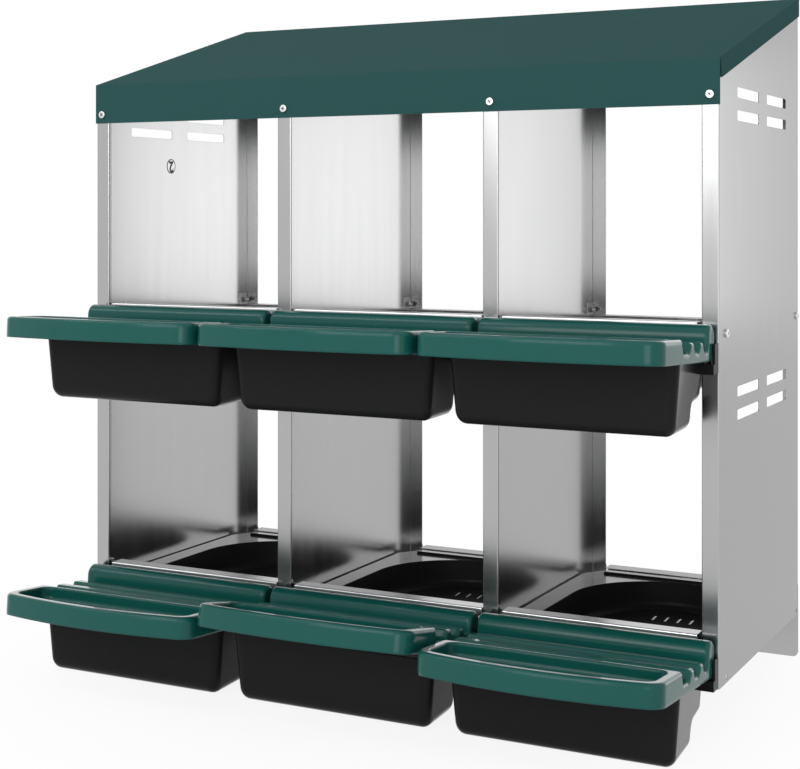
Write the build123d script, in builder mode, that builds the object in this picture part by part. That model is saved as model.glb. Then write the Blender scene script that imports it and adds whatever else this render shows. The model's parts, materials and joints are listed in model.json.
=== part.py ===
from build123d import *
import os
from math import atan, cos, radians, tan

os.makedirs("parts", exist_ok=True)

# Layout: x across, y back from the front plane of the cabinet, z up from the floor (mm)
bays = 3
tiers = 2
bay_pitch = 300.0
tier_pitch = 366.0
depth = 394.0
foot_height = 60.0

# Sheet steel
sheet = 1.0
bend = 1.6
flange = 21.0
flange_return = 6.0
half_bay = bay_pitch / 2 - sheet / 2
half_width = bays * bay_pitch / 2 + sheet / 2

# Roof, heights above the foot of the panels
eave = 736.0
roof_rise = 115.0
fascia = 54.5
roof_lip = 25.0
lip_start = 3.0
lip_slant = 5.0
side_gap = 0.3
roof_seat = 0.9
slope = roof_rise / depth
roof_thick = sheet / cos(atan(slope))

# Vent slots of the side panels
vent_length = 102.0
vent_height = 13.0
vent_corner = 3.0
vent_from_rear = 192.0
vent_y = depth - vent_from_rear
vent_pitch_y = 142.0
vent_pitch_z = 28.0
vent_z = 324.6
vent_rise = 362.2

# Fixing holes at the foot of the side panels
fix_radius = 3.5
fix_front = 32.0
fix_from_rear = 10.0
fix_rear = depth - fix_from_rear
fix_z = 7.0

# Fasteners
screw_radius = 2.0
screw_length = 9.0
head_radius = 5.2
head_height = 3.0
head_round = 1.2
bolt_radius = 2.5
bolt_length = 10.0
nut_flats = 8.0
nut_height = 4.0
hole_play = 0.2
thread_play = 0.05
rail_bolt_y = 29.0
bolt_from_rear = 12.0
rear_bolt_y = depth - bolt_from_rear
bolt_z = 47.0
roof_screw_drop = 42.5
roof_rear_drop = 12.5
plate_screw_z = 18.0

# Front rails, heights above the foot of the tier
rail_top = 61.0
rail_depth = 23.0
rail_front_lip = 8.0
rail_rear_lip = 16.0
rail_at_flange = 26.0
rail_at_sheet = 2.0
bracket_depth = 15.0
bracket_top = 57.0
foot_reach = 13.0

# Nest moulding
wall = 3.0
deck_top = 35.0
deck_gap = 3.5
deck_half = half_bay - deck_gap
deck_front = 10.0
deck_rear_gap = 10.0
deck_rear = depth - deck_rear_gap
deck_chamfer_x = 26.0
deck_chamfer_y = 40.0
basin_margin = 28.0
basin_half = deck_half - basin_margin
basin_rear_margin = 35.0
basin_centre = deck_rear - basin_rear_margin - basin_half
basin_draft = 7.0
basin_fillet = 11.0
floor_from_rear = 49.0
floor_y = deck_rear - floor_from_rear
floor_z = -2.0
floor_fall = 0.08
neck_front = -5.0
neck_lap = 18.0
tray_margin = 8.5
tray_half = deck_half - tray_margin
neck_half = bay_pitch / 2 - flange
tray_rim = 26.0
tray_draft = 4.7
tray_front = -125.5
tray_front_lean = 2.0
tray_floor = -57.0
tray_step = -36.0
tray_round = 15.0
tray_corner = 10.0
step_round = 12.0
step_lip = 6.0
ramp_length = 32.0
ramp_front = deck_rear - ramp_length
ramp_top = 38.5
drain_length = 26.0
drain_width = 5.0
drain_pitch = 17.6
drain_from_rear = 81.0
drain_y = deck_rear - drain_from_rear
wing_front = -20.0
wing_low = 2.0
wing_top = 14.0
wing_gap = 0.2
ear_width = 3.4
ear_top = 37.5
ear_front = -14.0
ear_end = 0.3

# Hinge between nest and lid
lid_gap = 4.0
lid_half = bay_pitch / 2 - lid_gap
hinge_y = -15.0
hinge_z = 45.7
pin_radius = 3.0
pin_play = 0.06
pin_length = 3.5
tongue_inset = 11.5
tongue_inner = lid_half - tongue_inset
tongue_width = 4.0
tongue_half = 5.0
tongue_play = 0.5
notch_play = 1.5

# Lid moulding, measured from the hinge axis: forward reach and height
skin = 2.5
roll = 14.0
roll_lap = 3.0
tail_reach = 3.0
tail_height = -22.0
skirt = -28.4
valley = -16.6
rib_top = -5.0
rib_reach = (38.0, 74.0)
rib_base = 25.0
rib_crown = 11.0
rib_round = 5.0
valley_round = 6.0
rim_round = 4.5
platform_reach = 107.0
platform_rise = 5.0
platform_top = -1.5
front_reach = 208.0
front_bow = 20.0
front_corner = 22.0
pocket_shelf = 4.0
pocket_reach = platform_reach + platform_rise + pocket_shelf
pocket_rim = 13.0
pocket_depth = 18.0
pocket_corner = 14.0
pocket_round = 6.0
pocket_edge = 2.0
boss_radius = 6.0
boss_length = 4.0
closed_tilt = (4.4, 3.0)
ajar_angle = 6.1
ajar_bay = 1
ajar_tier = 0

# Rear rails and rear foot plate
lip_top = 40.0
lip_depth = 24.0
lip_at_flange = 27.0
lip_at_sheet = 2.0
rear_web = 40.0
ear_rise = 18.0
ledge_width = 40.0
ledge_depth = 21.0
ledge_spread = 140.0
relief_depth = 12.0
foot_corner = 8.0

bay_names = ("left", "middle", "right")
tier_names = ("lower", "upper")
deck_under = deck_top - wall
pieces = []


def panel_x(index):
    """Middle plane of an upright panel."""
    return (index - bays / 2) * bay_pitch


def bay_x(index):
    """Middle of a bay."""
    return (index + 0.5 - bays / 2) * bay_pitch


def tier_z(index):
    """Foot of a tier."""
    return foot_height + index * tier_pitch


def roof_line(y):
    """Height of the outer roof surface."""
    return foot_height + eave + slope * y


def floor_line(y):
    """Height of the nest floor above the foot of its tier."""
    return floor_z + floor_fall * (y - floor_y)


def keep(part, label, place=Location()):
    """Place a finished piece and remember it for export."""
    pieces.append((label, part.moved(place)))


def polygon(plane, points):
    """Closed straight-sided sketch."""
    with BuildSketch(plane) as shape:
        with BuildLine():
            Polyline(*points, close=True)
        make_face()
    return shape.sketch


def folded(plane, points, side):
    """Section of a folded sheet along its outer surface."""
    with BuildSketch(plane) as shape:
        with BuildLine():
            FilletPolyline(*points, radius=bend)
            offset(amount=sheet, side=side)
        make_face()
    return shape.sketch


def circles(plane, points, radius):
    """Round holes or discs at the given points."""
    with BuildSketch(plane) as shape:
        with Locations(*points):
            Circle(radius)
    return shape.sketch


def bore(plane, points, radius, reach):
    """Cutter for round holes that pass through a plane."""
    with BuildPart() as cutter:
        extrude(circles(plane.offset(-reach), points, radius), amount=2 * reach)
    return cutter.part


def upright_panel(hand, vented):
    """C-section upright whose flanges point to the given hand."""
    outer = -hand * sheet / 2
    free = outer + hand * flange
    section = [
        (free, flange_return),
        (free, 0),
        (outer, 0),
        (outer, depth),
        (free, depth),
    ]
    inward = Side.LEFT if hand < 0 else Side.RIGHT
    with BuildPart() as panel:
        extrude(folded(Plane.XY.offset(foot_height), section, inward), amount=eave + roof_rise)
        under = roof_thick + roof_seat
        above = [
            (-flange, roof_line(-flange) - under),
            (depth + flange, roof_line(depth + flange) - under),
            (depth + flange, 2 * roof_line(depth)),
            (-flange, 2 * roof_line(depth)),
        ]
        extrude(polygon(Plane.YZ, above), amount=bay_pitch, both=True, mode=Mode.SUBTRACT)
        bolts = [(y, tier_z(1) + bolt_z) for y in (rail_bolt_y, rear_bolt_y)]
        add(bore(Plane.YZ, bolts, bolt_radius + hole_play, 2 * sheet), mode=Mode.SUBTRACT)
        screw_x = hand * (flange / 2 - sheet / 2)
        for y, height in (
            (0, roof_line(0) - roof_screw_drop),
            (depth, roof_line(depth) - roof_rear_drop),
            (depth, foot_height + plate_screw_z),
        ):
            cutter = bore(
                Plane.XZ.offset(-y), [(screw_x, height)], screw_radius + hole_play, 2 * sheet
            )
            add(cutter, mode=Mode.SUBTRACT)
        if vented:
            for height in (vent_z, vent_z + vent_rise):
                with BuildSketch(Plane.YZ.offset(-2 * sheet)) as vents:
                    with Locations((vent_y, foot_height + height)):
                        with GridLocations(vent_pitch_y, vent_pitch_z, 2, 2):
                            RectangleRounded(vent_length, vent_height, vent_corner)
                extrude(vents.sketch, amount=4 * sheet, mode=Mode.SUBTRACT)
            feet = [(y, foot_height + fix_z) for y in (fix_front, fix_rear)]
            add(bore(Plane.YZ, feet, fix_radius, 2 * sheet), mode=Mode.SUBTRACT)
    return panel.part


# Upright panels
screw_xs = []
panel_names = ("left_side_panel", "left_divider", "right_divider", "right_side_panel")
for index, name in enumerate(panel_names):
    hand = -1 if index == bays else 1
    keep(upright_panel(hand, index in (0, bays)), name, Location((panel_x(index), 0, 0)))
    screw_xs.append(panel_x(index) + hand * (flange / 2 - sheet / 2))

# Roof sheet with fascia, rear lip and two side lips
roof_half = half_width + side_gap + sheet
with BuildPart() as roof:
    back = depth + sheet
    line = [
        (-sheet, roof_line(-sheet) - fascia),
        (-sheet, roof_line(-sheet)),
        (back, roof_line(back)),
        (back, roof_line(back) - roof_lip),
    ]
    extrude(folded(Plane.YZ.offset(-roof_half), line, Side.RIGHT), amount=2 * roof_half)
    lip = [
        (lip_start, roof_line(lip_start) - sheet / 2),
        (back, roof_line(back) - sheet / 2),
        (back, roof_line(back) - roof_lip),
        (lip_start + lip_slant, roof_line(lip_start + lip_slant) - roof_lip),
    ]
    for start in (-roof_half, roof_half - sheet):
        extrude(polygon(Plane.YZ.offset(start), lip), amount=sheet)
    for y, height in (
        (0, roof_line(0) - roof_screw_drop),
        (depth, roof_line(depth) - roof_rear_drop),
    ):
        points = [(x, height) for x in screw_xs]
        cutter = bore(Plane.XZ.offset(-y), points, screw_radius + hole_play, 2 * sheet)
        add(cutter, mode=Mode.SUBTRACT)
keep(roof.part, "roof")


def front_rail(right_gap):
    """Folded strip with end brackets that carry the front corners of a nest."""
    left_gap = rail_at_flange
    start = -half_bay - sheet / 2 + left_gap
    stop = half_bay + sheet / 2 - right_gap
    section = [
        (0, rail_top - rail_front_lip),
        (0, rail_top),
        (rail_depth, rail_top),
        (rail_depth, rail_top - rail_rear_lip),
    ]
    web_top = rail_top - bend
    web_low = rail_top - rail_rear_lip
    with BuildPart() as rail:
        extrude(folded(Plane.YZ.offset(start), section, Side.RIGHT), amount=stop - start)
        with Locations((0, rail_depth - sheet, web_low)):
            Box(2 * half_bay, sheet, bracket_top - web_low, align=(Align.CENTER, Align.MIN, Align.MIN))
        for hand in (-1, 1):
            near = Align.MIN if hand < 0 else Align.MAX
            with Locations((hand * half_bay, rail_depth - sheet, deck_under)):
                Box(
                    sheet,
                    bracket_depth,
                    bracket_top - deck_under,
                    align=(near, Align.MIN, Align.MIN),
                )
            with Locations((hand * half_bay, rail_depth, deck_under)):
                Box(
                    foot_reach,
                    bracket_depth - sheet,
                    sheet,
                    align=(near, Align.MIN, Align.MAX),
                )
        cutter = bore(Plane.YZ, [(rail_bolt_y, bolt_z)], bolt_radius + hole_play, bay_pitch)
        add(cutter, mode=Mode.SUBTRACT)
    return rail.part


# Front rails: the last bay has a flange on both sides
rails = [front_rail(rail_at_sheet), front_rail(rail_at_sheet), front_rail(rail_at_flange)]
for tier in range(tiers):
    for bay in range(bays):
        name = f"{tier_names[tier]}_{bay_names[bay]}_front_rail"
        keep(rails[bay], name, Location((bay_x(bay), 0, tier_z(tier))))


# Rear rails of the upper tier: lip over the nest, ledges under it, bolted ears
with BuildPart() as rear_rail:
    face = depth - sheet
    inside_bend = bend - sheet
    width = 2 * (half_bay - inside_bend)
    with Locations((0, face, lip_top)):
        Box(width, sheet, rear_web, align=(Align.CENTER, Align.MAX, Align.MAX))
        Box(width, lip_depth, sheet, align=(Align.CENTER, Align.MAX, Align.MAX))
    for hand in (-1, 1):
        near = Align.MIN if hand < 0 else Align.MAX
        with Locations((hand * half_bay, face - inside_bend, lip_top - sheet)):
            Box(sheet, lip_depth - inside_bend, ear_rise, align=(near, Align.MAX, Align.MIN))
        with Locations((hand * ledge_spread / 2, face, deck_under)):
            Box(
                ledge_width,
                sheet,
                ledge_depth,
                align=(Align.CENTER, Align.MAX, Align.MAX),
                mode=Mode.SUBTRACT,
            )
            Box(ledge_width, ledge_depth, sheet, align=(Align.CENTER, Align.MAX, Align.MAX))
    cutter = bore(Plane.YZ, [(rear_bolt_y, bolt_z)], bolt_radius + hole_play, bay_pitch)
    add(cutter, mode=Mode.SUBTRACT)
for bay in range(bays):
    name = f"{bay_names[bay]}_rear_rail"
    keep(rear_rail.part, name, Location((bay_x(bay), 0, tier_z(1))))

# Rear foot plate: stands on the floor, one lip and two ledges for each lower nest
with BuildPart() as foot_plate:
    face = depth + sheet
    plate_height = foot_height + lip_top
    with BuildSketch(Plane.XZ.offset(-face)) as outline:
        with Locations((0, plate_height / 2)):
            Rectangle(2 * half_width, plate_height)
        fillet(outline.vertices().group_by(Axis.Y)[0], foot_corner)
    extrude(amount=sheet)
    for bay in range(bays):
        start = panel_x(bay) + lip_at_flange
        right_gap = lip_at_flange if bay == bays - 1 else lip_at_sheet
        stop = panel_x(bay + 1) - right_gap
        with Locations((start, face, plate_height)):
            Box(stop - start, lip_depth, sheet, align=(Align.MIN, Align.MAX, Align.MAX))
            relief = lip_at_flange - flange
            Box(
                relief,
                2 * sheet,
                relief_depth,
                align=(Align.MAX, Align.MAX, Align.MAX),
                mode=Mode.SUBTRACT,
            )
        if bay == bays - 1:
            with Locations((stop, face, plate_height)):
                Box(
                    relief,
                    2 * sheet,
                    relief_depth,
                    align=(Align.MIN, Align.MAX, Align.MAX),
                    mode=Mode.SUBTRACT,
                )
        for hand in (-1, 1):
            with Locations((bay_x(bay) + hand * ledge_spread / 2, face, tier_z(0) + deck_under)):
                Box(
                    ledge_width,
                    2 * sheet,
                    ledge_depth,
                    align=(Align.CENTER, Align.MAX, Align.MAX),
                    mode=Mode.SUBTRACT,
                )
                Box(ledge_width, ledge_depth, sheet, align=(Align.CENTER, Align.MAX, Align.MAX))
    points = [(x, foot_height + plate_screw_z) for x in screw_xs]
    cutter = bore(Plane.XZ.offset(-depth), points, screw_radius + hole_play, 2 * sheet)
    add(cutter, mode=Mode.SUBTRACT)
keep(foot_plate.part, "rear_foot_plate")


def basin_mass(grow):
    """Sloped bowl of the nest, grown outward by a wall thickness."""
    half = basin_half + grow
    front = neck_front - neck_lap
    with BuildPart() as mass:
        with BuildSketch(Plane.XY.offset(deck_top)) as plan:
            with BuildLine():
                Polyline((-half, basin_centre), (-half, front), (half, front), (half, basin_centre))
                ThreePointArc(
                    (half, basin_centre), (0, basin_centre + half), (-half, basin_centre)
                )
            make_face()
        extrude(plan.sketch, amount=-2 * basin_half, taper=basin_draft)
        back = basin_centre + basin_half + 4 * wall
        below = [
            (back, floor_line(back) - grow),
            (2 * tray_front, floor_line(2 * tray_front) - grow),
            (2 * tray_front, -3 * basin_half),
            (back, -3 * basin_half),
        ]
        extrude(polygon(Plane.YZ, below), amount=2 * basin_half, both=True, mode=Mode.SUBTRACT)
        rim = mass.faces().sort_by(Axis.Z)[0].edges().sort_by(Axis.Y)[1:]
        fillet(rim, basin_fillet + grow)
        if grow:
            with Locations((0, neck_front, tray_rim - wall)):
                Box(
                    3 * half,
                    2 * neck_lap,
                    deck_top,
                    align=(Align.CENTER, Align.MAX, Align.MIN),
                    mode=Mode.SUBTRACT,
                )
    return mass.part


def tray_mass(grow):
    """Egg tray in front of the cabinet, grown outward by a wall thickness."""
    lean = tan(radians(tray_front_lean))
    flare = (tray_half - neck_half) / (neck_front - tray_front)
    wide = tray_half - flare * tray_front + grow
    narrow = tray_half + 2 * flare * tray_front + grow
    front = tray_front - grow
    low = tray_floor - grow
    step = tray_step + grow
    rear = neck_front + grow
    with BuildPart() as mass:
        plan = [
            (-wide, 2 * tray_front),
            (wide, 2 * tray_front),
            (narrow, -tray_front),
            (-narrow, -tray_front),
        ]
        extrude(polygon(Plane.XY.offset(tray_rim), plan), amount=-2 * tray_half, taper=tray_draft)
        with BuildSketch(Plane.YZ) as side:
            toe = (front + (tray_rim - low) * lean, low)
            heel = (step, low)
            shelf = (step, floor_line(step) - grow)
            with BuildLine():
                Polyline(
                    toe,
                    heel,
                    shelf,
                    (rear, floor_line(rear) - grow),
                    (rear, 2 * tray_rim),
                    (front - tray_rim * lean, 2 * tray_rim),
                    close=True,
                )
            make_face()
            fillet(side.vertices().sort_by_distance(toe)[0], tray_round + grow)
            fillet(side.vertices().sort_by_distance(heel)[0], step_round + grow)
            fillet(side.vertices().sort_by_distance(shelf)[0], step_lip - grow)
        extrude(side.sketch, amount=2 * tray_half, both=True, mode=Mode.INTERSECT)
        sides = mass.edges().filter_by(lambda e: abs(e.center().X) > tray_half / 2)
        low_sides = sides.filter_by(lambda e: e.center().Z < tray_rim - wall)
        fillet(low_sides.filter_by(lambda e: e.center().Y < rear - hole_play), tray_corner + grow)
    return mass.part


# Nest: deck, basin and egg tray in one moulding
with BuildPart() as nest:
    deck = [
        (-deck_half, deck_front),
        (deck_half, deck_front),
        (deck_half, deck_rear - deck_chamfer_y),
        (deck_half - deck_chamfer_x, deck_rear),
        (-deck_half + deck_chamfer_x, deck_rear),
        (-deck_half, deck_rear - deck_chamfer_y),
    ]
    extrude(polygon(Plane.XY.offset(deck_under), deck), amount=wall)
    add(basin_mass(wall))
    add(tray_mass(wall))
    add(basin_mass(0), mode=Mode.SUBTRACT)
    add(tray_mass(0), mode=Mode.SUBTRACT)
    ramp = [
        (ramp_front, deck_under),
        (ramp_front, deck_top),
        (ramp_front + wall, ramp_top),
        (deck_rear, ramp_top),
        (deck_rear, deck_under),
    ]
    extrude(polygon(Plane.YZ, ramp), amount=basin_half, both=True)
    with BuildSketch(Plane.XY.offset(floor_line(drain_y))) as drains:
        with Locations((0, drain_y)):
            with GridLocations(drain_pitch, drain_pitch, 4, 1):
                SlotOverall(drain_length, drain_width, rotation=90)
    extrude(drains.sketch, amount=4 * wall, both=True, mode=Mode.SUBTRACT)
    for hand in (-1, 1):
        near = Align.MIN if hand < 0 else Align.MAX
        end = hand * (bay_pitch / 2 - ear_end)
        with Locations((end, wing_front, wing_low)):
            Box(
                bay_pitch / 2 - ear_end - neck_half,
                -wing_front - wing_gap,
                wing_top - wing_low,
                align=(near, Align.MIN, Align.MIN),
            )
        with Locations((end, ear_front, wing_low)):
            Box(
                ear_width,
                -ear_front - wing_gap,
                ear_top - wing_low,
                align=(near, Align.MIN, Align.MIN),
            )
        with BuildSketch(Plane.YZ.offset(hand * tongue_inner)) as tongue:
            with Locations((hinge_y, hinge_z)):
                Circle(tongue_half)
            with Locations((hinge_y, (hinge_z + wing_low) / 2)):
                Rectangle(2 * tongue_half, hinge_z - wing_low)
        extrude(tongue.sketch, amount=hand * tongue_width)
        outside = hand * (tongue_inner + tongue_width)
        extrude(
            circles(Plane.YZ.offset(outside), [(hinge_y, hinge_z)], pin_radius),
            amount=hand * pin_length,
        )


def lid_outline(inset, reach, height, corner, rear_corner=0.0):
    """Lid seen from above in front of a given reach, with a bowed front edge."""
    half = lid_half - inset
    front = hinge_y - front_reach + inset
    ends = front + front_bow * (half / lid_half) ** 2
    rear = hinge_y - reach
    with BuildSketch(Plane.XY.offset(hinge_z + height)) as plan:
        with BuildLine():
            Polyline((-half, ends), (-half, rear), (half, rear), (half, ends))
            ThreePointArc((half, ends), (0, front), (-half, ends))
        make_face()
        fillet(plan.vertices().group_by(Axis.Y)[0], corner)
        if rear_corner:
            fillet(plan.vertices().group_by(Axis.Y)[-1], rear_corner)
    return plan.sketch


def lid_section(inset, low):
    """Side view of the lid: hinge roll, ribs and platform, drawn in by a skin thickness."""
    steps = [(roll, 0), (roll, valley)]
    for reach in rib_reach:
        steps += [
            (reach - rib_base / 2, valley),
            (reach - rib_crown / 2, rib_top),
            (reach + rib_crown / 2, rib_top),
            (reach + rib_base / 2, valley),
        ]
    steps += [
        (platform_reach, valley),
        (platform_reach + platform_rise, platform_top),
        (front_reach + roll, platform_top),
        (front_reach + roll, low),
        (-tail_reach, low),
        (-tail_reach, tail_height),
        (-roll, -roll_lap),
        (-roll, 0),
    ]
    with BuildSketch(Plane.YZ.offset(inset - lid_half)) as section:
        with BuildLine():
            ThreePointArc(
                (hinge_y + roll, hinge_z), (hinge_y, hinge_z + roll), (hinge_y - roll, hinge_z)
            )
            Polyline(*[(hinge_y - reach, hinge_z + height) for reach, height in steps])
        make_face()
        between = section.vertices().filter_by_position(
            Axis.X, hinge_y - front_reach, hinge_y - roll + hole_play
        )
        heights = between.group_by(Axis.Y)
        fillet(heights[0], valley_round)
        fillet(heights[1] + between.sort_by(Axis.X)[0], rib_round)
        if inset:
            offset(amount=-inset)
    return section.sketch


def pocket_form(grow):
    """Hand pocket with a rounded floor, grown outward by a skin thickness."""
    corner = pocket_corner + grow
    low = platform_top - pocket_depth - grow
    outline = lid_outline(pocket_rim - grow, pocket_reach - grow, low, corner, corner)
    with BuildPart() as pocket:
        extrude(outline, amount=2 * pocket_depth)
        fillet(pocket.faces().sort_by(Axis.Z)[0].edges(), pocket_round + grow)
    return pocket.part


# Lid: hollow moulding with hinge roll, two ribs and a platform with a hand pocket
with BuildPart() as hollow:
    extrude(lid_section(skin, skirt - roll), amount=2 * (lid_half - skin))
    extrude(
        lid_outline(skin, -2 * roll, skirt - 2 * roll, front_corner - skin),
        amount=6 * roll,
        mode=Mode.INTERSECT,
    )
    with Locations((0, hinge_y + 2 * roll, hinge_z - roll_lap)):
        Box(2 * (lid_half - skin), 2 * roll, 2 * roll, align=(Align.CENTER, Align.MAX, Align.MAX))
    add(pocket_form(skin), mode=Mode.SUBTRACT)
with BuildPart() as lid:
    extrude(lid_section(0, skirt), amount=2 * lid_half)
    extrude(lid_outline(0, -2 * roll, 2 * skirt, front_corner), amount=6 * roll, mode=Mode.INTERSECT)
    tops = lid.faces().filter_by(lambda face: face.normal_at().Z > 0.01)
    outer = [edge for edge in tops.edges() if abs(edge.center().X) > lid_half - hole_play]
    outer += tops.sort_by(Axis.Y)[0].edges().sort_by(Axis.Y)[:3]
    fillet(outer, rim_round)
    add(hollow.part, mode=Mode.SUBTRACT)
    add(pocket_form(0), mode=Mode.SUBTRACT)
    mouth = lid.faces().filter_by(Axis.Z).sort_by(Axis.Z)[-1].inner_wires()[0]
    fillet(mouth.edges(), pocket_edge)
    for hand in (-1, 1):
        inner = lid_half - skin - boss_length
        extrude(
            circles(Plane.YZ.offset(hand * inner), [(hinge_y, hinge_z)], boss_radius),
            amount=hand * (boss_length + skin / 2),
        )
        extrude(
            circles(Plane.YZ.offset(hand * inner), [(hinge_y, hinge_z)], pin_radius + pin_play),
            amount=hand * (pin_length + tongue_play - tongue_play / 4),
            mode=Mode.SUBTRACT,
        )
        with Locations((hand * (tongue_inner + tongue_width / 2), hinge_y + tongue_half, hinge_z - roll)):
            Box(
                tongue_width + 2 * notch_play,
                roll,
                2 * roll - roll_lap,
                align=(Align.CENTER, Align.MIN, Align.MIN),
                mode=Mode.SUBTRACT,
            )
hinge_axis = Axis((0, hinge_y, hinge_z), (1, 0, 0))
for tier in range(tiers):
    for bay in range(bays):
        place = Location((bay_x(bay), 0, tier_z(tier)))
        name = f"{tier_names[tier]}_{bay_names[bay]}"
        keep(nest.part, f"{name}_nest", place)
        tilt = closed_tilt[tier]
        if tier == ajar_tier and bay == ajar_bay:
            tilt += ajar_angle
        keep(lid.part.rotate(hinge_axis, -tilt), f"{name}_lid", place)

# Pan-head screw along -y with its seat at the origin
with BuildPart() as screw:
    extrude(circles(Plane.XZ, [(0, 0)], head_radius), amount=head_height)
    fillet(screw.edges().group_by(Axis.Y)[0], head_round)
    extrude(circles(Plane.XZ, [(0, 0)], screw_radius), amount=-screw_length)

# Pan-head bolt along +x with its seat at the origin
with BuildPart() as bolt:
    extrude(circles(Plane.YZ, [(0, 0)], head_radius), amount=head_height)
    fillet(bolt.edges().group_by(Axis.X)[-1], head_round)
    extrude(circles(Plane.YZ, [(0, 0)], bolt_radius), amount=-bolt_length)

# Hexagon nut along x
with BuildPart() as nut:
    with BuildSketch(Plane.YZ) as hexagon:
        RegularPolygon(nut_flats / 2, 6, major_radius=False)
        Circle(bolt_radius + thread_play, mode=Mode.SUBTRACT)
    extrude(hexagon.sketch, amount=nut_height)


def group(part, places):
    """Identical fasteners as one node."""
    with BuildPart() as bunch:
        for place in places:
            add(part.moved(place))
    return bunch.part


front_seats = [Location((x, -sheet, roof_line(0) - roof_screw_drop)) for x in screw_xs]
turned = Rotation(0, 0, 180)
rear_seats = [
    Location((x, depth + sheet, roof_line(depth) - roof_rear_drop)) * turned for x in screw_xs
]
plate_seats = [Location((x, depth + sheet, foot_height + plate_screw_z)) * turned for x in screw_xs]
keep(group(screw.part, front_seats), "roof_front_screws")
keep(group(screw.part, rear_seats), "roof_rear_screws")
keep(group(screw.part, plate_seats), "rear_plate_screws")

bolt_seats = []
nut_seats = []
for index in range(bays + 1):
    last = index == bays
    head_side = sheet / 2 if last else -sheet / 2
    if 0 < index < bays:
        head_side = -sheet * 1.5
    nut_side = -sheet * 1.5 - nut_height if last else sheet * 1.5
    for y in (rail_bolt_y, rear_bolt_y):
        height = tier_z(1) + bolt_z
        seat = Location((panel_x(index) + head_side, y, height))
        bolt_seats.append(seat if last else seat * turned)
        nut_seats.append(Location((panel_x(index) + nut_side, y, height)))
keep(group(bolt.part, bolt_seats), "rail_bolts")
keep(group(nut.part, nut_seats), "rail_nuts")

# Shared frame: the origin is at the bottom centre of the whole object
boxes = [part.bounding_box() for label, part in pieces]
front_edge = min(box.min.Y for box in boxes)
rear_edge = max(box.max.Y for box in boxes)
frame = Location((0, -(front_edge + rear_edge) / 2, 0))
for label, part in pieces:
    piece = part.moved(frame)
    piece.label = label
    export_step(piece, f"parts/{label}.step")
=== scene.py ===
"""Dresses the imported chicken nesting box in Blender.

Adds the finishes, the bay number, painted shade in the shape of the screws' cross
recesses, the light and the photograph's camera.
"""

import json
import logging
import math
from dataclasses import dataclass, replace
from enum import Enum
from typing import Iterable

import bmesh
import bpy
from mathutils import Matrix, Vector


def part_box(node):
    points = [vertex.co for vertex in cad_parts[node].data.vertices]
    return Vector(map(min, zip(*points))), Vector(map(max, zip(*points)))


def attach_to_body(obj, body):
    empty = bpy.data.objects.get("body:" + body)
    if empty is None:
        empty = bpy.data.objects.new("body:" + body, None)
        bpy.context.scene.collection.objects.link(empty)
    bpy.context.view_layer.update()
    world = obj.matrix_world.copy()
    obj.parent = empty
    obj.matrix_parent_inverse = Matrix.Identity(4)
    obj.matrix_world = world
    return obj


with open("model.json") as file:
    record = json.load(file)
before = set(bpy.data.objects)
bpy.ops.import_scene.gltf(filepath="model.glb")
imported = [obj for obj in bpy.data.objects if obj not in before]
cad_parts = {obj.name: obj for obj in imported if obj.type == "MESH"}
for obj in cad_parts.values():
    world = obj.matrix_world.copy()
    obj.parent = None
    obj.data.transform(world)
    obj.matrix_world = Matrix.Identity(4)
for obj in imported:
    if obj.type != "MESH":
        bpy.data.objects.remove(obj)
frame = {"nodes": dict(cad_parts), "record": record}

LOG = logging.getLogger("nesting_box")
MM = 0.001
ROOT_BODY = "cabinet"
LEFT_PANEL = "left_side_panel"
SHEET = 1.0 * MM

# Fastener nodes whose heads show, with the index of the axis that they lie along
FASTENERS = {
    "roof_front_screws": 1,
    "roof_rear_screws": 1,
    "rear_plate_screws": 1,
    "rail_bolts": 0,
}

# Socket numbers of Blender's mix node when it mixes colours
MIX_FACTOR, MIX_LOW, MIX_HIGH, MIX_RESULT = 0, 6, 7, 2

# Settings that all finishes share
EDGE_SAMPLES = 6
MARK_DETAIL = 4.0
LINEAR_FACING = 0.5

Colour = tuple[float, float, float]
Point = tuple[float, float, float]
Socket = bpy.types.NodeSocket


class Slot(Enum):
    """Material slots of the record."""

    STEEL = "galvanised_steel"
    ROOF = "green_paint"
    NEST = "black_plastic"
    LID = "green_plastic"
    FASTENER = "plated_steel"


class Grain(Enum):
    """Direction in which a surface's fine marks are drawn out."""

    EVEN = (1.0, 1.0, 1.0)
    UPRIGHT = (1.0, 1.0, 0.06)
    ACROSS = (0.06, 1.0, 1.0)


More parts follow.
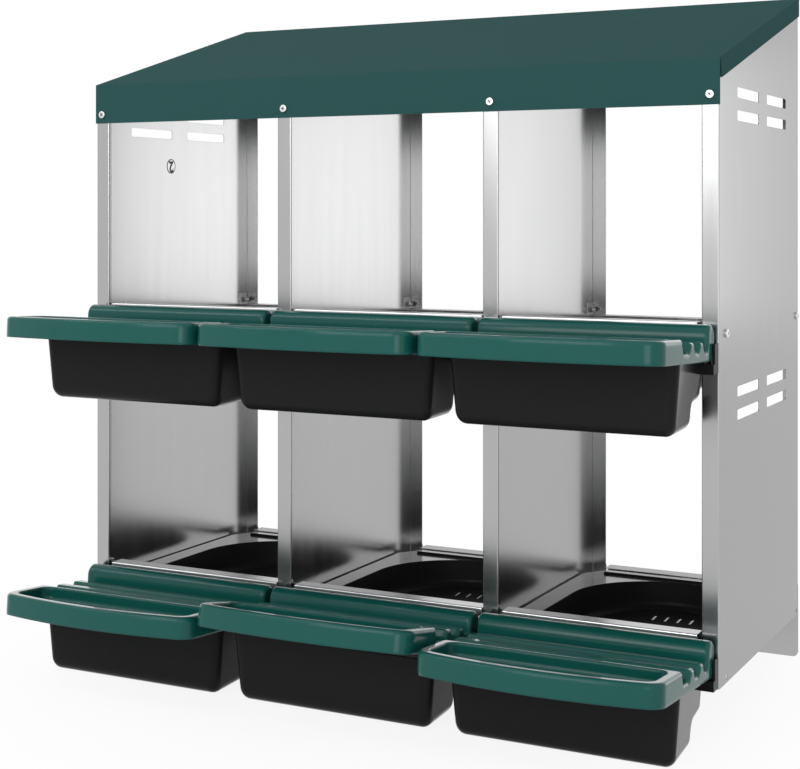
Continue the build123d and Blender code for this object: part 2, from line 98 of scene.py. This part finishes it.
@dataclass
class Nodes:
    """A small writer for shader nodes.

    Attributes:
        tree: node tree that is being filled.
    """

    tree: bpy.types.NodeTree

    @classmethod
    def of(cls, owner: bpy.types.ID) -> "Nodes":
        """Empty the node tree of a material or a world.

        Args:
            owner: the material or world.

        Returns:
            Writer for its tree.
        """
        owner.use_nodes = True
        owner.node_tree.nodes.clear()
        return cls(owner.node_tree)

    def add(self, kind: str, **sockets: object) -> bpy.types.Node:
        """Add a node and set its input sockets.

        Args:
            kind: Blender's class name of the node.
            sockets: input values by socket name, with underscores for spaces.

        Returns:
            The new node.
        """
        node = self.tree.nodes.new(kind)
        for name, value in sockets.items():
            node.inputs[name.replace("_", " ")].default_value = value
        return node

    def link(self, source: Socket, target: Socket) -> None:
        """Join an output to an input."""
        self.tree.links.new(source, target)

    def feed(self, source: object, target: Socket) -> None:
        """Join a socket to an input, or set the input to a value.

        Args:
            source: a socket, a number or a linear colour.
            target: the input.
        """
        if isinstance(source, Socket):
            self.link(source, target)
        elif isinstance(source, tuple):
            target.default_value = (*source, 1)
        else:
            target.default_value = source

    def math(self, operation: str, first: object, second: object) -> Socket:
        """Work out one value from two.

        Args:
            operation: Blender's name of the operation.
            first: a socket or a number.
            second: a socket or a number.

        Returns:
            Socket with the value.
        """
        node = self.add("ShaderNodeMath")
        node.operation = operation
        self.feed(first, node.inputs[0])
        self.feed(second, node.inputs[1])
        return node.outputs["Value"]

    def ramp(
        self,
        value: Socket,
        start: float = 0.0,
        stop: float = 1.0,
        low: float = 0.0,
        high: float = 1.0,
    ) -> Socket:
        """Carry a value from one span over to another, held at the ends.

        Args:
            value: socket with the value.
            start: value that becomes the low end.
            stop: value that becomes the high end.
            low: the low end.
            high: the high end.

        Returns:
            Socket with the new value.
        """
        node = self.add(
            "ShaderNodeMapRange", From_Min=start, From_Max=stop, To_Min=low, To_Max=high
        )
        self.link(value, node.inputs["Value"])
        return node.outputs["Result"]

    def blend(self, factor: Socket, low: object, high: object) -> Socket:
        """Mix two colours.

        Args:
            factor: socket with the second colour's share.
            low: the first colour, or a socket with it.
            high: the second colour, or a socket with it.

        Returns:
            Socket with the mixed colour.
        """
        node = self.add("ShaderNodeMix")
        node.data_type = "RGBA"
        self.link(factor, node.inputs[MIX_FACTOR])
        self.feed(low, node.inputs[MIX_LOW])
        self.feed(high, node.inputs[MIX_HIGH])
        return node.outputs[MIX_RESULT]

    def height_of(self, direction: Socket) -> Socket:
        """Upward part of a direction.

        Args:
            direction: socket with the direction.

        Returns:
            Socket with its z.
        """
        split = self.add("ShaderNodeSeparateXYZ")
        self.link(direction, split.inputs["Vector"])
        return split.outputs["Z"]

    def close(self, kind: str, surface: Socket) -> None:
        """End the tree with its output node.

        Args:
            kind: Blender's class name of the output node.
            surface: socket with the finished surface.
        """
        self.link(surface, self.add(kind).inputs["Surface"])


@dataclass(frozen=True)
class Finish:
    """One surface finish of the nesting box.

    Attributes:
        slot: material slot of the record.
        colour: base colour, linear.
        roughness: middle roughness.
        roughness_spread: how far the roughness wanders from place to place.
        shade_spread: how far the colour wanders from place to place.
        metallic: 1 for bare metal.
        specular: dielectric reflection level, 0.5 for common plastics.
        rim: brightness of a reflection at a low angle, 1 for polished metal.
        edge: radius of the softened edges in metres.
        mark_scale: how fine the marks are, per metre.
        grain: direction of the marks.
    """

    slot: Slot
    colour: Colour
    roughness: float
    roughness_spread: float
    shade_spread: float
    metallic: float = 0.0
    specular: float = 0.5
    rim: float = 1.0
    edge: float = 0.6 * MM
    mark_scale: float = 40.0
    grain: Grain = Grain.EVEN

    def material(self, name: str = "") -> bpy.types.Material:
        """Build the finish as a material.

        Args:
            name: the material's name, or the slot's where it is empty.

        Returns:
            The new material.
        """
        material = bpy.data.materials.new(name or self.slot.value)
        nodes = Nodes.of(material)
        shader = nodes.add(
            "ShaderNodeBsdfPrincipled",
            Metallic=self.metallic,
            Specular_IOR_Level=self.specular,
            Specular_Tint=(self.rim, self.rim, self.rim, 1),
        )
        marks = self.marks(nodes)
        smooth = self.roughness - self.roughness_spread
        rough = self.roughness + self.roughness_spread
        nodes.link(nodes.ramp(marks, low=smooth, high=rough), shader.inputs["Roughness"])
        nodes.link(self.shade(nodes, marks), shader.inputs["Base Color"])
        self.add_polish(nodes, shader)
        bevel = nodes.add("ShaderNodeBevel", Radius=self.edge)
        bevel.samples = EDGE_SAMPLES
        nodes.link(bevel.outputs["Normal"], shader.inputs["Normal"])
        nodes.close("ShaderNodeOutputMaterial", shader.outputs["BSDF"])
        return material

    def marks(self, nodes: Nodes) -> Socket:
        """Fine uneven marks on object coordinates.

        Args:
            nodes: writer of the material's nodes.

        Returns:
            Socket with values around one half.
        """
        place = nodes.add("ShaderNodeTexCoord")
        mapping = nodes.add("ShaderNodeMapping", Scale=self.grain.value)
        noise = nodes.add("ShaderNodeTexNoise", Scale=self.mark_scale, Detail=MARK_DETAIL)
        nodes.link(place.outputs["Object"], mapping.inputs["Vector"])
        nodes.link(mapping.outputs["Vector"], noise.inputs["Vector"])
        return noise.outputs["Fac"]

    def shade(self, nodes: Nodes, marks: Socket) -> Socket:
        """Colour that follows the marks.

        Args:
            nodes: writer of the material's nodes.
            marks: socket with the marks.

        Returns:
            Socket with the colour.
        """
        dark = tuple(part * (1 - self.shade_spread) for part in self.colour)
        light = tuple(part * (1 + self.shade_spread) for part in self.colour)
        return nodes.blend(marks, dark, light)

    def add_polish(self, nodes: Nodes, shader: bpy.types.Node) -> None:
        """Add nothing: a plain finish has no clear layer on top."""


@dataclass(frozen=True)
class CoatedSheet(Finish):
    """Sheet with a coloured face and a pale backing coat.

    Attributes:
        backing: colour of the faces that look down, linear.
        turn: how far a face looks down before it counts as the back.
    """

    backing: Colour = (0.5, 0.5, 0.5)
    turn: float = -0.5

    def shade(self, nodes: Nodes, marks: Socket) -> Socket:
        """Coloured on top, pale below.

        Args:
            nodes: writer of the material's nodes.
            marks: socket with the marks.

        Returns:
            Socket with the colour.
        """
        geometry = nodes.add("ShaderNodeNewGeometry")
        height = nodes.height_of(geometry.outputs["True Normal"])
        below = nodes.math("LESS_THAN", height, self.turn)
        return nodes.blend(below, super().shade(nodes, marks), self.backing)


@dataclass(frozen=True)
class GlossyMoulding(Finish):
    """Moulding whose polish shows where it is seen at a low angle.

    Attributes:
        gloss_from: how far a face has turned away where the polish begins.
        gloss_to: how far it has turned away where the polish is full.
        gloss_index: refractive index of the polish.
        gloss_roughness: roughness of the polish.
        side_share: share of the polish that upright faces keep.
        top_from: how far a face looks up where it counts as the top.
    """

    gloss_from: float = 0.5
    gloss_to: float = 0.72
    gloss_index: float = 1.63
    gloss_roughness: float = 0.12
    side_share: float = 0.42
    top_from: float = 0.5

    def add_polish(self, nodes: Nodes, shader: bpy.types.Node) -> None:
        """Full polish on the tops, less of it on the drafted sides.

        Args:
            nodes: writer of the material's nodes.
            shader: surface shader.
        """
        turned = nodes.add("ShaderNodeLayerWeight", Blend=LINEAR_FACING).outputs["Facing"]
        seen_low = nodes.ramp(turned, start=self.gloss_from, stop=self.gloss_to)
        upward = nodes.height_of(nodes.add("ShaderNodeTexCoord").outputs["Normal"])
        share = nodes.ramp(upward, stop=self.top_from, low=self.side_share)
        nodes.link(nodes.math("MULTIPLY", seen_low, share), shader.inputs["Coat Weight"])
        shader.inputs["Coat IOR"].default_value = self.gloss_index
        shader.inputs["Coat Roughness"].default_value = self.gloss_roughness


STEEL = Finish(
    Slot.STEEL,
    colour=(0.43, 0.43, 0.433),
    roughness=0.21,
    roughness_spread=0.035,
    shade_spread=0.03,
    metallic=1.0,
    rim=0.72,
    mark_scale=60.0,
    grain=Grain.UPRIGHT,
)
# Lit copies of the galvanised steel: the front rails' raised colour paints a bright
# reflection onto them, and the rear rails' smaller rise paints a dimmer one.
FRONT_RAIL_PAINTED_SHEEN = replace(STEEL, colour=(0.8, 0.8, 0.805), roughness=0.3, grain=Grain.ACROSS)
REAR_RAIL_PAINTED_SHEEN = replace(FRONT_RAIL_PAINTED_SHEEN, colour=(0.6, 0.6, 0.604))
DISC_STEEL = replace(STEEL, colour=(0.46, 0.46, 0.46))
DISC_PRINT = Finish(
    Slot.STEEL,
    colour=(0.012, 0.012, 0.012),
    roughness=0.45,
    roughness_spread=0.05,
    shade_spread=0.06,
    edge=0.1 * MM,
    mark_scale=900.0,
)
# Dark skin on the screw heads that paints the shade of the driver's cross recess, which is
# not cut into the heads.
CROSS_SHADE = replace(DISC_PRINT, colour=(0.02, 0.02, 0.02))
ROOF = CoatedSheet(
    Slot.ROOF,
    colour=(0.0225, 0.0705, 0.068),
    roughness=0.75,
    roughness_spread=0.05,
    shade_spread=0.02,
    specular=0.02,
    mark_scale=25.0,
)
NEST = GlossyMoulding(
    Slot.NEST,
    colour=(0.0135, 0.0135, 0.0138),
    roughness=0.3,
    roughness_spread=0.03,
    shade_spread=0.05,
    specular=0.05,
    edge=1.5 * MM,
    mark_scale=90.0,
    gloss_from=0.72,
    gloss_to=0.78,
)
LID = GlossyMoulding(
    Slot.LID,
    colour=(0.006, 0.075, 0.064),
    roughness=0.14,
    roughness_spread=0.03,
    shade_spread=0.03,
    specular=0.22,
    edge=5.0 * MM,
    mark_scale=30.0,
    gloss_index=1.46,
    gloss_roughness=0.08,
    side_share=0.06,
)
FASTENER = Finish(
    Slot.FASTENER,
    colour=(0.72, 0.72, 0.7),
    roughness=0.28,
    roughness_spread=0.04,
    shade_spread=0.04,
    metallic=1.0,
    edge=0.4 * MM,
    mark_scale=300.0,
)


@dataclass
class Frame:
    """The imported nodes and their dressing.

    Attributes:
        nodes: CAD nodes by name.
        slots: material slot by node name.
    """

    nodes: dict[str, bpy.types.Object]
    slots: dict[str, str]

    def dress(self, finish: Finish, ending: str = "") -> None:
        """Give every node of a slot its finish.

        Args:
            finish: finish to put on.
            ending: only nodes whose names end so, all of them where it is empty.
        """
        material = finish.material()
        for name, node in self.nodes.items():
            if self.slots[name] != finish.slot.value or not name.endswith(ending):
                continue
            node.data.materials.clear()
            node.data.materials.append(material)
            LOG.info("%s: %s", name, finish.slot.value)


@dataclass
class NumberDisc:
    """Round bay number on a panel's face.

    Attributes:
        radius: outer radius in metres.
        corners: number of corners of the round edge.
        ring: width of the dark ring along the edge.
        thickness: how far the disc stands off the panel.
        relief: how far the numeral stands off the disc.
        numeral: the bay's number.
        numeral_size: type size of the numeral.
        numeral_weight: how far its strokes are thickened.
        back_from_front: distance of the middle behind the panel's front edge.
        height: height of the middle above the panel's foot.
    """

    radius: float = 11.0 * MM
    corners: int = 48
    ring: float = 1.5 * MM
    thickness: float = 0.25 * MM
    relief: float = 0.08 * MM
    numeral: str = "2"
    numeral_size: float = 23.0 * MM
    numeral_weight: float = 0.8 * MM
    back_from_front: float = 179 * MM
    height: float = 625 * MM

    def build(self, panel: str, skin: float) -> None:
        """Put the disc on a panel's inner face.

        Args:
            panel: node that carries the disc.
            skin: x of the face that it lies on.
        """
        low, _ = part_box(panel)
        seat = Matrix.Translation((skin, low.y + self.back_from_front, low.z + self.height))
        upright = Matrix(((0, 0, 1, 0), (1, 0, 0, 0), (0, 1, 0, 0), (0, 0, 0, 1)))
        place = seat @ upright
        pale = DISC_STEEL.material("disc_face")
        dark = DISC_PRINT.material("disc_ink")
        attach("number_disc", self.face(place), (pale, dark))
        attach("number_disc_numeral", self.figure(place), (dark,))

    def face(self, place: Matrix) -> bpy.types.Mesh:
        """The disc with its ring.

        Args:
            place: frame of the disc, z off the panel.

        Returns:
            Mesh whose second material is the ring.
        """
        form = bmesh.new()
        bmesh.ops.create_circle(
            form, cap_ends=True, segments=self.corners, radius=self.radius
        )
        back = list(form.faces)
        front = bmesh.ops.extrude_face_region(form, geom=back, use_keep_orig=True)["geom"]
        corners = [item for item in front if isinstance(item, bmesh.types.BMVert)]
        bmesh.ops.translate(form, verts=corners, vec=(0, 0, self.thickness))
        top = [item for item in front if isinstance(item, bmesh.types.BMFace)]
        ring = bmesh.ops.inset_region(form, faces=top, thickness=self.ring)["faces"]
        for part in ring:
            part.material_index = 1
        bmesh.ops.recalc_face_normals(form, faces=form.faces)
        bmesh.ops.transform(form, matrix=place, verts=form.verts)
        return to_mesh("number_disc", form)

    def figure(self, place: Matrix) -> bpy.types.Mesh:
        """The numeral, printed upside down.

        Args:
            place: frame of the disc, z off the panel.

        Returns:
            Mesh of the numeral.
        """
        letter = bpy.data.curves.new("numeral", "FONT")
        letter.body = self.numeral
        letter.align_x = "CENTER"
        letter.align_y = "CENTER"
        letter.size = self.numeral_size
        letter.offset = self.numeral_weight
        letter.extrude = self.relief
        holder = bpy.data.objects.new("numeral", letter)
        mesh = bpy.data.meshes.new_from_object(holder)
        lift = Matrix.Translation((0, 0, self.thickness))
        mesh.transform(place @ lift @ Matrix.Rotation(math.pi, 4, "Z"))
        bpy.data.objects.remove(holder)
        bpy.data.curves.remove(letter)
        return mesh


@dataclass
class PaintedCrossShade:
    """Painted shade of the driver's cross recess: a dark skin on the flat faces of a
    fastener node's heads.

    Attributes:
        node: fastener node.
        axis: index of the axis along which its fasteners lie.
        reach: half the length of an arm in metres.
        half_width: half the width of an arm.
        relief: how far the dark skin of painted shade lies off the head.
        turn: how far each cross is turned from the one before, in degrees.
        weld: distance within which the node's corners count as one.
        level_play: how far a point may lie below an end and still belong to it.
    """

    node: str
    axis: int
    reach: float = 2.7 * MM
    half_width: float = 0.65 * MM
    relief: float = 0.03 * MM
    turn: float = 38.0
    weld: float = 0.001 * MM
    level_play: float = 0.01 * MM

    def build(self, material: bpy.types.Material) -> None:
        """Paint the shade of a cross recess onto every head of the node.

        Args:
            material: the finish of the dark skin that paints the shade.
        """
        form = bmesh.new()
        for index, (middle, outward) in enumerate(self.heads()):
            facing = outward.to_track_quat("Z", "Y").to_matrix().to_4x4()
            spin = Matrix.Rotation(math.radians(self.turn * (index + 1)), 4, "Z")
            self.add_cross(form, Matrix.Translation(middle) @ facing @ spin)
        name = self.node + "_painted_cross_shade"
        attach(name, to_mesh(name, form), (material,))

    def add_cross(self, form: bmesh.types.BMesh, place: Matrix) -> None:
        """One cross, a square with an arm on each side.

        Args:
            form: mesh that takes the cross.
            place: frame of the head's face, z outward.
        """
        before = set(form.verts)
        bmesh.ops.create_grid(
            form,
            x_segments=1,
            y_segments=1,
            size=self.half_width,
            matrix=Matrix.Translation((0, 0, self.relief)),
        )
        corners = [vert for vert in form.verts if vert not in before]
        sides = dict.fromkeys(edge for vert in corners for edge in vert.link_edges)
        for side in list(sides):
            away = (side.verts[0].co + side.verts[1].co) / 2
            away.z = 0
            grown = bmesh.ops.extrude_edge_only(form, edges=[side])["geom"]
            ends = [item for item in grown if isinstance(item, bmesh.types.BMVert)]
            step = away.normalized() * (self.reach - self.half_width)
            bmesh.ops.translate(form, verts=ends, vec=step)
        cross = [vert for vert in form.verts if vert not in before]
        bmesh.ops.transform(form, matrix=place, verts=cross)

    def heads(self) -> list[tuple[Vector, Vector]]:
        """Find the flat face of each head.

        Returns:
            Middle and outward direction of each face, in the order of their places.
        """
        form = bmesh.new()
        form.from_mesh(frame["nodes"][self.node].data)
        bmesh.ops.remove_doubles(form, verts=form.verts, dist=self.weld)
        found = []
        loose = set(form.verts)
        while loose:
            fastener = self.connected(loose.pop())
            loose -= fastener
            found.append(self.flat_face([vert.co.copy() for vert in fastener]))
        form.free()
        return sorted(found, key=lambda head: tuple(head[0]))

    def connected(self, start: bmesh.types.BMVert) -> set[bmesh.types.BMVert]:
        """Gather the fastener that a vertex belongs to.

        Args:
            start: any of its vertices.

        Returns:
            All its vertices.
        """
        seen = {start}
        front = [start]
        while front:
            vert = front.pop()
            for edge in vert.link_edges:
                other = edge.other_vert(vert)
                if other not in seen:
                    seen.add(other)
                    front.append(other)
        return seen

    def flat_face(self, points: list[Vector]) -> tuple[Vector, Vector]:
        """The wider end of a fastener.

        Args:
            points: all its vertices.

        Returns:
            Middle of the end's face and the direction it faces.
        """
        ends = []
        for sign in (-1, 1):
            level = max(sign * point[self.axis] for point in points)
            rim = [p for p in points if sign * p[self.axis] > level - self.level_play]
            low = Vector(min(p[i] for p in rim) for i in range(3))
            high = Vector(max(p[i] for p in rim) for i in range(3))
            outward = Vector(sign * (i == self.axis) for i in range(3))
            ends.append(((high - low).length, (low + high) / 2, outward))
        _, middle, outward = max(ends, key=lambda end: end[0])
        return middle, outward


def to_mesh(name: str, form: bmesh.types.BMesh) -> bpy.types.Mesh:
    """Turn a form into a mesh and free it.

    Args:
        name: the mesh's name.
        form: its shape.

    Returns:
        The new mesh.
    """
    mesh = bpy.data.meshes.new(name)
    form.to_mesh(mesh)
    form.free()
    return mesh


def attach(
    name: str, mesh: bpy.types.Mesh, finishes: Iterable[bpy.types.Material]
) -> None:
    """Put a new piece on the cabinet.

    Args:
        name: the piece's name.
        mesh: its shape, in the frame's own coordinates.
        finishes: its materials in order.
    """
    piece = bpy.data.objects.new(name, mesh)
    bpy.context.scene.collection.objects.link(piece)
    for finish in finishes:
        mesh.materials.append(finish)
    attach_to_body(piece, ROOT_BODY)
    LOG.info("%s rides on %s", name, ROOT_BODY)


@dataclass(frozen=True)
class Lamp:
    """Soft box lamp.

    Attributes:
        name: the lamp's name.
        place: where it hangs, in metres.
        level: brightness of its face, 1 for white.
        size: width and height of its face in metres.
        aim: point that it faces.
    """

    name: str
    place: Point
    level: float
    size: tuple[float, float]
    aim: Point = (0.0, 0.0, 0.45)

    def hang(self) -> None:
        """Put the lamp into the scene, out of the camera's sight."""
        width, height = self.size
        light = bpy.data.lights.new(self.name, "AREA")
        light.shape = "RECTANGLE"
        light.size, light.size_y = width, height
        light.energy = self.level * math.pi * width * height
        lamp = bpy.data.objects.new(self.name, light)
        lamp.location = self.place
        heading = Vector(self.aim) - Vector(self.place)
        lamp.rotation_euler = heading.to_track_quat("-Z", "Y").to_euler()
        lamp.visible_camera = False
        bpy.context.scene.collection.objects.link(lamp)


LAMPS = (
    Lamp("front", place=(-0.4, -3.2, 1.5), level=4.4, size=(1.6, 1.4)),
    Lamp("front_right", place=(2.2, -3.8, 0.8), level=2.5, size=(2.0, 1.4)),
    Lamp(
        "top_left",
        place=(-1.95, -1.6, 2.9),
        level=9.0,
        size=(2.0, 0.3),
        aim=(-1.95, -0.2, 0.2),
    ),
    Lamp("back_right", place=(2.65, 5.0, 0.72), level=1.35, size=(1.3, 1.25)),
)


@dataclass
class Studio:
    """Floor, backdrop light and the photograph's camera.

    Attributes:
        floor_half: half the floor's side in metres.
        floor_drop: how far the floor lies below the object's feet.
        floor_shade: brightness of the floor's matt part.
        fade_from: distance from the object where the floor begins to fade.
        fade_to: distance where it has faded into the backdrop.
        fade_least: how far it has faded right under the object.
        ambient: strength of the soft light on matt surfaces.
        sensor: width of the camera's sensor in millimetres.
        lens: focal length in millimetres.
        far: how far the camera sees, in metres.
        tilt: angle of the camera from looking straight down, in degrees.
        turn: camera heading in degrees.
        drop: vertical shift of the picture.
        stand: camera place from the front plane's middle at the floor, in metres.
    """

    floor_half: float = 6.0
    floor_drop: float = 1.0 * MM
    floor_shade: float = 0.9
    fade_from: float = 0.3
    fade_to: float = 0.8
    fade_least: float = 0.88
    ambient: float = 0.8
    sensor: float = 36.0
    lens: float = 71.55
    far: float = 50.0
    tilt: float = 90.0
    turn: float = 27.1155
    drop: float = -0.2170
    stand: Point = (0.96313, -1.81568, 0.61724)

    def lay_floor(self) -> None:
        """Pale floor that keeps the object's shadow."""
        form = bmesh.new()
        bmesh.ops.create_grid(form, x_segments=1, y_segments=1, size=self.floor_half)
        bmesh.ops.translate(form, verts=form.verts, vec=(0, 0, -self.floor_drop))
        mesh = to_mesh("floor", form)
        floor = bpy.data.objects.new("floor", mesh)
        bpy.context.scene.collection.objects.link(floor)
        mesh.materials.append(self.floor_material())

    def floor_material(self) -> bpy.types.Material:
        """White floor that fades into the backdrop away from the object.

        Returns:
            The floor's material.
        """
        material = bpy.data.materials.new("pale_floor")
        nodes = Nodes.of(material)
        shade = (self.floor_shade, self.floor_shade, self.floor_shade, 1)
        matt = nodes.add("ShaderNodeBsdfDiffuse", Color=shade)
        glow = nodes.add("ShaderNodeEmission", Strength=1.0)
        distance = nodes.add("ShaderNodeVectorMath")
        distance.operation = "LENGTH"
        place = nodes.add("ShaderNodeTexCoord")
        nodes.link(place.outputs["Object"], distance.inputs[0])
        fade = nodes.ramp(
            distance.outputs["Value"],
            start=self.fade_from,
            stop=self.fade_to,
            low=self.fade_least,
        )
        share = nodes.math("MULTIPLY", fade, self.seen_directly(nodes))
        mix = nodes.add("ShaderNodeMixShader")
        sources = (share, matt.outputs["BSDF"], glow.outputs["Emission"])
        for source, target in zip(sources, mix.inputs):
            nodes.link(source, target)
        nodes.close("ShaderNodeOutputMaterial", mix.outputs["Shader"])
        return material

    def seen_directly(self, nodes: Nodes) -> Socket:
        """1 for rays that show the backdrop: from the eye, a mirror or glass.

        Args:
            nodes: writer of the nodes.

        Returns:
            Socket that is 0 or 1.
        """
        rays = nodes.add("ShaderNodeLightPath").outputs
        either = nodes.math("MAXIMUM", rays["Is Camera Ray"], rays["Is Glossy Ray"])
        return nodes.math("MAXIMUM", either, rays["Is Transmission Ray"])

    def light_room(self) -> None:
        """White backdrop, with a softer light for matt surfaces."""
        world = bpy.data.worlds.new("studio")
        bpy.context.scene.world = world
        nodes = Nodes.of(world)
        background = nodes.add("ShaderNodeBackground", Color=(1, 1, 1, 1))
        level = nodes.ramp(self.seen_directly(nodes), low=self.ambient)
        nodes.link(level, background.inputs["Strength"])
        nodes.close("ShaderNodeOutputWorld", background.outputs["Background"])

    def set_camera(self, front: float) -> None:
        """Camera at the photograph's viewpoint.

        Args:
            front: y of the cabinet's front plane.
        """
        data = bpy.data.cameras.new("photograph")
        data.sensor_width = self.sensor
        data.lens = self.lens
        data.shift_y = self.drop
        data.clip_end = self.far
        camera = bpy.data.objects.new("photograph", data)
        x, y, z = self.stand
        camera.location = (x, y + front, z)
        camera.rotation_euler = (math.radians(self.tilt), 0, math.radians(self.turn))
        bpy.context.scene.collection.objects.link(camera)
        bpy.context.scene.camera = camera


def main() -> None:
    """Dress the frame, light it and set the camera."""
    logging.basicConfig(level=logging.INFO, format="%(name)s: %(message)s")
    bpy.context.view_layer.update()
    slots = {row["node"]: row["material_slot"] for row in frame["record"]["subparts"]}
    box = Frame(frame["nodes"], slots)
    for finish in (STEEL, ROOF, NEST, LID, FASTENER):
        box.dress(finish)
    # The rails get the lit copies of the steel, whose raised colour is a painted
    # reflection.
    box.dress(FRONT_RAIL_PAINTED_SHEEN, "_front_rail")
    box.dress(REAR_RAIL_PAINTED_SHEEN, "_rear_rail")
    NumberDisc().build(LEFT_PANEL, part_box(LEFT_PANEL)[0].x + SHEET)
    # Painted shade of the cross recesses, laid on every visible screw head.
    shade = CROSS_SHADE.material("painted_cross_shade")
    for node, axis in FASTENERS.items():
        PaintedCrossShade(node, axis).build(shade)
    studio = Studio()
    studio.lay_floor()
    studio.light_room()
    for lamp in LAMPS:
        lamp.hang()
    studio.set_camera(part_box(LEFT_PANEL)[0].y)
    bpy.context.scene.view_settings.view_transform = "Standard"


if __name__ == "__main__":
    main()
